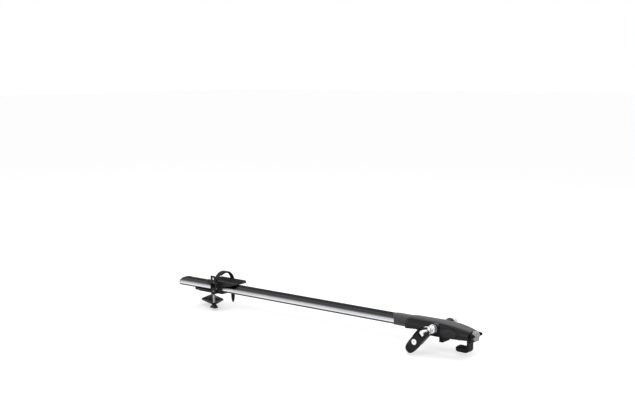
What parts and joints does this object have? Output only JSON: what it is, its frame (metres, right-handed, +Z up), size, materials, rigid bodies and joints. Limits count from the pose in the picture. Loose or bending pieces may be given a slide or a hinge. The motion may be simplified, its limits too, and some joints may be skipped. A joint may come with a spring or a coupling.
{
  "type": "roof mounted bike carrier",
  "caption": "Long oval tray with a fork clamping head, cam lever skewer, bar jaws with screw knobs, and a sliding wheel cradle with ratchet strap.",
  "frame": {"origin": "on the front bar seat under the head, at the tray's middle", "axes": "+X forward along the tray, +Y to the adjusting nut's side, +Z up"},
  "size_m": [1.2887, 0.1929, 0.1326],
  "materials": {
    "tray_alloy": "satin anodised extrusion",
    "strip_rubber": "matt strip with fine ribs",
    "cap_plastic": "dark grey moulded plastic",
    "base_casting": "black coated casting",
    "shell_plastic": "black moulded plastic",
    "cover_plastic": "charcoal moulded plastic",
    "pad_rubber": "moulded rubber",
    "steel": "zinc plated steel",
    "bright_steel": "bright plated steel",
    "jaw_casting": "black coated casting",
    "knob_plastic": "light grey moulded plastic",
    "lever_plastic": "black moulded plastic",
    "holder_plastic": "black moulded plastic",
    "strap_plastic": "flexible black plastic"
  },
  "bodies": {
    "carrier": {"tray_extrusion": "tray_alloy", "tray_top_strip": "strip_rubber", "tray_end_cap": "cap_plastic", "tray_collar": "cap_plastic", "tray_nut_bar": "steel", "tray_bolt_front": "steel", "tray_bolt_rear": "steel", "head_base": "base_casting", "head_shell": "shell_plastic", "head_top_cover": "cover_plastic", "side_panel_near": "shell_plastic", "side_panel_far": "shell_plastic", "front_bar_pad": "pad_rubber", "hook_pad": "pad_rubber", "jaw_screw_nut": "steel", "shell_screw_near": "steel", "shell_screw_far": "steel", "dropout_cup_near": "bright_steel", "dropout_cup_far": "bright_steel", "skewer_rod": "steel", "skewer_barrel": "bright_steel"},
    "jaw": {"front_jaw": "jaw_casting", "front_jaw_pad": "pad_rubber"},
    "knob": {"jaw_knob": "knob_plastic", "jaw_screw": "steel"},
    "lever": {"skewer_lever": "lever_plastic", "lever_pin": "steel", "lock_body": "lever_plastic"},
    "plug": {"lock_plug": "bright_steel"},
    "collar": {"clamp_collar": "bright_steel"},
    "nut": {"skewer_nut": "bright_steel"},
    "carriage": {"carriage_saddle": "holder_plastic", "rear_bar_pad": "pad_rubber", "wheel_cradle": "holder_plastic", "cradle_pad": "pad_rubber", "clamp_stud": "steel", "carriage_pin_near": "steel", "carriage_pin_far": "steel", "strap_anchor": "holder_plastic", "strap_pin": "steel", "strap_tail": "strap_plastic", "buckle_frame": "holder_plastic", "latch_pin": "steel", "pawl_pin": "steel"},
    "rear_clamp": {"rear_jaw": "jaw_casting", "rear_jaw_pad": "pad_rubber", "guide_post": "steel"},
    "t_knob": {"rear_knob": "holder_plastic"},
    "strap": {"wheel_strap": "strap_plastic", "rim_guard": "pad_rubber"},
    "latch": {"buckle_lever": "holder_plastic"},
    "pawl": {"buckle_pawl": "holder_plastic"}
  },
  "joints": [
    {"name": "jaw_slide", "type": "slide", "parent": "carrier", "child": "jaw", "axis": [1, 0, 0], "range_m": [0, 0.045]},
    {"name": "knob_turn", "type": "hinge", "parent": "jaw", "child": "knob", "pos_m": [0.045, 0, 0.011], "axis": [1, 0, 0], "range_deg": [0, 4060]},
    {"name": "lever_swing", "type": "hinge", "parent": "carrier", "child": "lever", "pos_m": [-0.073, -0.0979, 0.024], "axis": [-0.7431, 0, 0.6691], "range_deg": [0, 110]},
    {"name": "collar_slide", "type": "slide", "parent": "carrier", "child": "collar", "axis": [0, -1, 0], "range_m": [0, 0.0026]},
    {"name": "lock_turn", "type": "hinge", "parent": "lever", "child": "plug", "pos_m": [-0.10378, -0.0979, -0.01018], "axis": [0, -1, 0], "range_deg": [0, 90]},
    {"name": "nut_spin", "type": "hinge", "parent": "carrier", "child": "nut", "pos_m": [-0.073, 0.065, 0.024], "axis": [0, 1, 0], "continuous": true},
    {"name": "carriage_slide", "type": "slide", "parent": "carrier", "child": "carriage", "axis": [1, 0, 0], "range_m": [-0.06, 0.4]},
    {"name": "rear_jaw_drop", "type": "slide", "parent": "carriage", "child": "rear_clamp", "axis": [0, 0, -1], "range_m": [0, 0.009]},
    {"name": "rear_knob_turn", "type": "hinge", "parent": "rear_clamp", "child": "t_knob", "pos_m": [-1.034, -0.044, -0.045], "axis": [0, 0, -1], "range_deg": [0, 815]},
    {"name": "strap_swing", "type": "hinge", "parent": "carriage", "child": "strap", "pos_m": [-1.022, 0.0459, 0.034], "axis": [-1, 0, 0], "range_deg": [0, 100]},
    {"name": "latch_swing", "type": "hinge", "parent": "carriage", "child": "latch", "pos_m": [-1.022, -0.0543, 0.046], "axis": [1, 0, 0], "range_deg": [0, 70]},
    {"name": "pawl_swing", "type": "hinge", "parent": "carriage", "child": "pawl", "pos_m": [-1.022, -0.0543, 0.026], "axis": [1, 0, 0], "range_deg": [0, 20], "stiffness_Nm_per_rad": 0.05, "springref_deg": -11.46}
  ],
  "couplings": [
    {"joint": "knob_turn", "follows": "jaw_slide", "rad_per_m": 1570.8},
    {"joint": "collar_slide", "follows": "lever_swing", "m_per_rad": 0.0013022},
    {"joint": "rear_knob_turn", "follows": "rear_jaw_drop", "rad_per_m": 1570.8}
  ]
}
